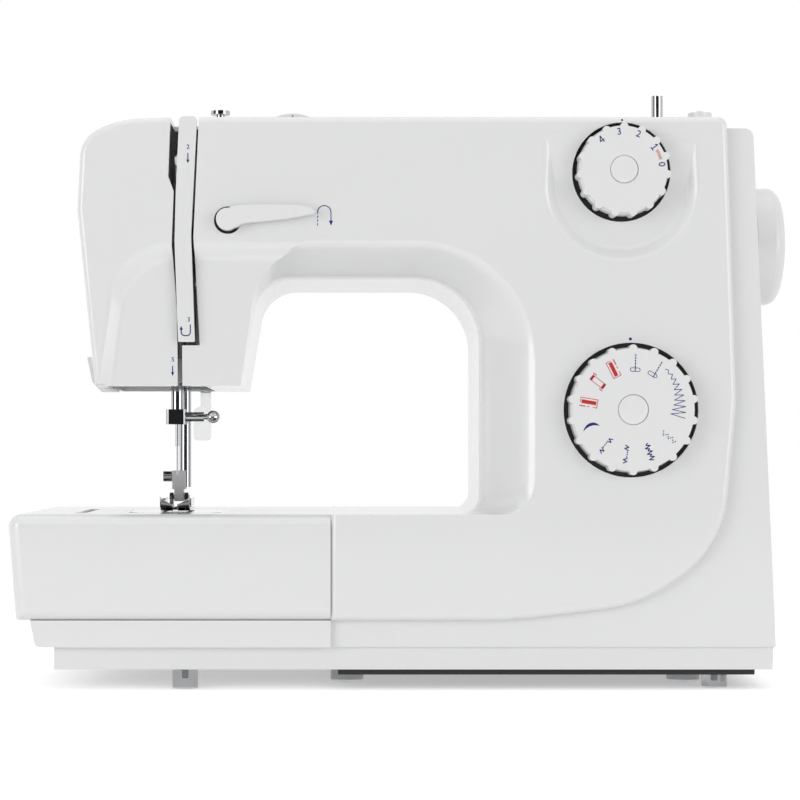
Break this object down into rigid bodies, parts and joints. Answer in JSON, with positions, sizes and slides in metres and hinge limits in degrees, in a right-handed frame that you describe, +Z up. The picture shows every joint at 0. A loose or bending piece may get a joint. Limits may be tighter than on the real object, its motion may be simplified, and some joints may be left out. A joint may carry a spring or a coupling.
{
  "type": "sewing machine",
  "caption": "White free-arm household sewing machine with an arched arm, two front dials, handwheel, needle and presser bars and a pull-off extension table.",
  "frame": {"origin": "on the table top under the centre of the machine's box, at the underside of the feet", "axes": "+X along the arm towards the handwheel, +Y away from the user, +Z up"},
  "size_m": [0.3819, 0.164, 0.2959],
  "materials": {
    "casing": "smooth white moulded plastic",
    "dial": "smooth white moulded plastic",
    "dark_plastic": "black moulded plastic",
    "grey_plastic": "dark grey moulded plastic",
    "frame": "as cast",
    "steel": "ground",
    "chrome": "polished",
    "bronze": "turned",
    "belt": "black rubber",
    "feet": "grey rubber",
    "glass": "clear bulb"
  },
  "bodies": {
    "machine": {"face_cover": "casing", "front_cover": "casing", "rear_cover": "casing", "thread_guide_strip": "casing", "base_plate": "dark_plastic", "base_feet": "feet", "main_frame": "frame", "shaft_bushes": "bronze", "bar_guide": "frame", "motor_belt": "belt", "timing_belt": "belt", "motor_housing": "frame", "bobbin_case": "grey_plastic", "free_arm_cover": "casing", "needle_plate": "chrome", "needle_plate_screws": "steel", "dial_seats": "dark_plastic", "reverse_lever_bush": "dark_plastic", "tension_post": "steel", "winder_stop": "dial", "upper_thread_guide": "chrome", "spool_pin_sleeves": "grey_plastic", "lamp_holder": "grey_plastic", "lamp_bulb": "glass", "thread_cutter": "casing", "power_inlet": "dark_plastic", "cover_screws": "steel"},
    "main_shaft": {"upper_shaft": "steel", "crank_disc": "steel", "handwheel": "dial", "drive_pulley": "grey_plastic", "upper_timing_pulley": "grey_plastic"},
    "connecting_rod": {"connecting_rod": "steel"},
    "motor_rotor": {"motor_rotor": "steel"},
    "lower_shaft": {"lower_shaft": "steel", "hook": "steel"},
    "bobbin": {"bobbin": "chrome"},
    "needle_bar": {"needle_bar": "steel", "needle_clamp": "chrome", "needle": "chrome"},
    "take_up_lever": {"take_up_lever": "chrome"},
    "presser_bar": {"presser_bar": "steel", "foot_ankle": "chrome", "foot_screw": "chrome"},
    "presser_foot": {"presser_foot": "chrome"},
    "presser_lever": {"presser_lever": "dark_plastic"},
    "bobbin_door": {"bobbin_door": "casing"},
    "feed_dog": {"feed_dog": "steel"},
    "extension_table": {"extension_table": "casing", "table_feet": "feet"},
    "length_dial": {"length_dial": "dial"},
    "pattern_dial": {"pattern_dial": "dial"},
    "reverse_lever": {"reverse_lever": "dial"},
    "tension_wheel": {"tension_wheel": "dial"},
    "winder_carriage": {"winder_carriage": "grey_plastic"},
    "winder_spindle": {"winder_spindle": "dark_plastic"},
    "spool_pin_left": {"spool_pin_left": "dial"},
    "spool_pin_right": {"spool_pin_right": "dial"},
    "power_switch": {"power_switch": "dark_plastic"}
  },
  "joints": [
    {"name": "handwheel_spin", "type": "hinge", "parent": "machine", "child": "main_shaft", "pos_m": [0.04225, -0.013, 0.219], "axis": [1, 0, 0], "continuous": true},
    {"name": "connecting_rod_turn", "type": "hinge", "parent": "main_shaft", "child": "connecting_rod", "pos_m": [-0.10175, -0.013, 0.2345], "axis": [1, 0, 0], "continuous": true},
    {"name": "motor_spin", "type": "hinge", "parent": "machine", "child": "motor_rotor", "pos_m": [0.15225, 0.03, 0.05], "axis": [1, 0, 0], "continuous": true},
    {"name": "lower_shaft_spin", "type": "hinge", "parent": "machine", "child": "lower_shaft", "pos_m": [0.01225, -0.013, 0.064], "axis": [1, 0, 0], "continuous": true},
    {"name": "bobbin_spin", "type": "hinge", "parent": "machine", "child": "bobbin", "pos_m": [-0.10765, -0.013, 0.064], "axis": [1, 0, 0], "continuous": true},
    {"name": "needle_bar_slide", "type": "slide", "parent": "machine", "child": "needle_bar", "axis": [0, 0, 1], "range_m": [-0.031, 0]},
    {"name": "take_up_swing", "type": "hinge", "parent": "machine", "child": "take_up_lever", "pos_m": [-0.11015, -0.032, 0.243], "axis": [1, 0, 0], "range_deg": [0, 55]},
    {"name": "presser_lever_swing", "type": "hinge", "parent": "machine", "child": "presser_lever", "pos_m": [-0.1028, 0.024, 0.15], "axis": [1, 0, 0], "range_deg": [0, 60]},
    {"name": "presser_bar_slide", "type": "slide", "parent": "machine", "child": "presser_bar", "axis": [0, 0, 1], "range_m": [0, 0.006]},
    {"name": "presser_foot_tilt", "type": "hinge", "parent": "presser_bar", "child": "presser_foot", "pos_m": [-0.11325, 0.002, 0.092], "axis": [1, 0, 0], "range_deg": [-5, 0.9]},
    {"name": "bobbin_door_swing", "type": "hinge", "parent": "machine", "child": "bobbin_door", "pos_m": [-0.15875, -0.013, 0.0522], "axis": [0, -1, 0], "range_deg": [0, 80]},
    {"name": "feed_dog_slide", "type": "slide", "parent": "machine", "child": "feed_dog", "axis": [0, 1, 0], "range_m": [-0.002, 0.002]},
    {"name": "extension_table_slide", "type": "slide", "parent": "machine", "child": "extension_table", "axis": [-1, 0, 0], "range_m": [0, 0.14]},
    {"name": "stitch_length_turn", "type": "hinge", "parent": "machine", "child": "length_dial", "pos_m": [0.10485, -0.073, 0.2498], "axis": [0, 1, 0], "range_deg": [-75, 75]},
    {"name": "pattern_dial_turn", "type": "hinge", "parent": "machine", "child": "pattern_dial", "pos_m": [0.10915, -0.073, 0.1352], "axis": [0, 1, 0], "continuous": true},
    {"name": "reverse_lever_push", "type": "hinge", "parent": "machine", "child": "reverse_lever", "pos_m": [-0.08475, -0.073, 0.2265], "axis": [0, 1, 0], "range_deg": [0, 14], "stiffness_Nm_per_rad": 0.6},
    {"name": "tension_wheel_turn", "type": "hinge", "parent": "machine", "child": "tension_wheel", "pos_m": [-0.05405, -0.047, 0.2604], "axis": [0, 1, 0], "range_deg": [-150, 150]},
    {"name": "winder_shift", "type": "slide", "parent": "machine", "child": "winder_carriage", "axis": [1, 0, 0], "range_m": [0, 0.006]},
    {"name": "winder_spin", "type": "hinge", "parent": "winder_carriage", "child": "winder_spindle", "pos_m": [0.13055, -0.01, 0.2765], "axis": [0, 0, 1], "continuous": true},
    {"name": "left_spool_pin_slide", "type": "slide", "parent": "machine", "child": "spool_pin_left", "axis": [0, 0, 1], "range_m": [0, 0.045]},
    {"name": "right_spool_pin_slide", "type": "slide", "parent": "machine", "child": "spool_pin_right", "axis": [0, 0, 1], "range_m": [0, 0.045]},
    {"name": "power_switch_rock", "type": "hinge", "parent": "machine", "child": "power_switch", "pos_m": [0.17416, 0.046, 0.05], "axis": [0, 1, 0], "range_deg": [-8, 8]}
  ],
  "couplings": [
    {"joint": "connecting_rod_turn", "follows": "handwheel_spin", "ratio": -1},
    {"joint": "motor_spin", "follows": "handwheel_spin", "ratio": 4},
    {"joint": "lower_shaft_spin", "follows": "handwheel_spin", "ratio": 2},
    {"joint": "presser_lever_swing", "follows": "presser_bar_slide", "rad_per_m": 174.53}
  ]
}
